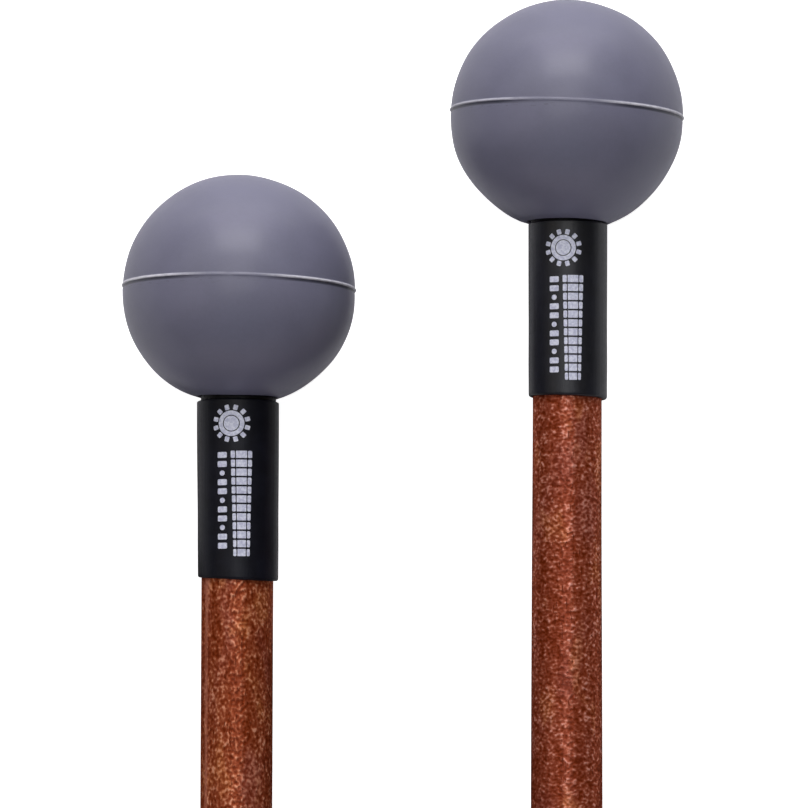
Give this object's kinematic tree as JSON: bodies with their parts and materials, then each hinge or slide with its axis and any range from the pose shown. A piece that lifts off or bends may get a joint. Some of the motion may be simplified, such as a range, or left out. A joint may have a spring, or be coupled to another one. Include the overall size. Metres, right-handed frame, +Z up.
{
  "type": "percussion mallet pair",
  "caption": "Matched pair of percussion mallets: moulded rubber ball heads on stained round hardwood handles, with a printed black sleeve under each ball.",
  "frame": {"origin": "centre of the pair's bounding box in plan, at the surface that both mallets lie on", "axes": "+Y lengthwise from the butt ends to the ball heads, +X from the left mallet to the right one, +Z up from the table"},
  "size_m": [0.077, 0.3926, 0.0322],
  "materials": {
    "ball_rubber": "matte satin moulded purplish-grey hard rubber",
    "handle_wood": "red-brown stained hardwood with fine pale flecks, satin lacquer",
    "sleeve_black": "black satin shrink tube with a white printed pattern",
    "glue_black": "cured black adhesive"
  },
  "bodies": {
    "mallet_left": {"left_ball_head": "ball_rubber", "left_handle": "handle_wood", "left_shrink_sleeve": "sleeve_black", "left_glue_bond": "glue_black"},
    "mallet_right": {"right_ball_head": "ball_rubber", "right_handle": "handle_wood", "right_shrink_sleeve": "sleeve_black", "right_glue_bond": "glue_black"}
  },
  "joints": [
    {"name": "mallet_right_lift", "type": "slide", "parent": "mallet_left", "child": "mallet_right", "axis": [0, 0, 1], "range_m": [0, 0.15]}
  ]
}
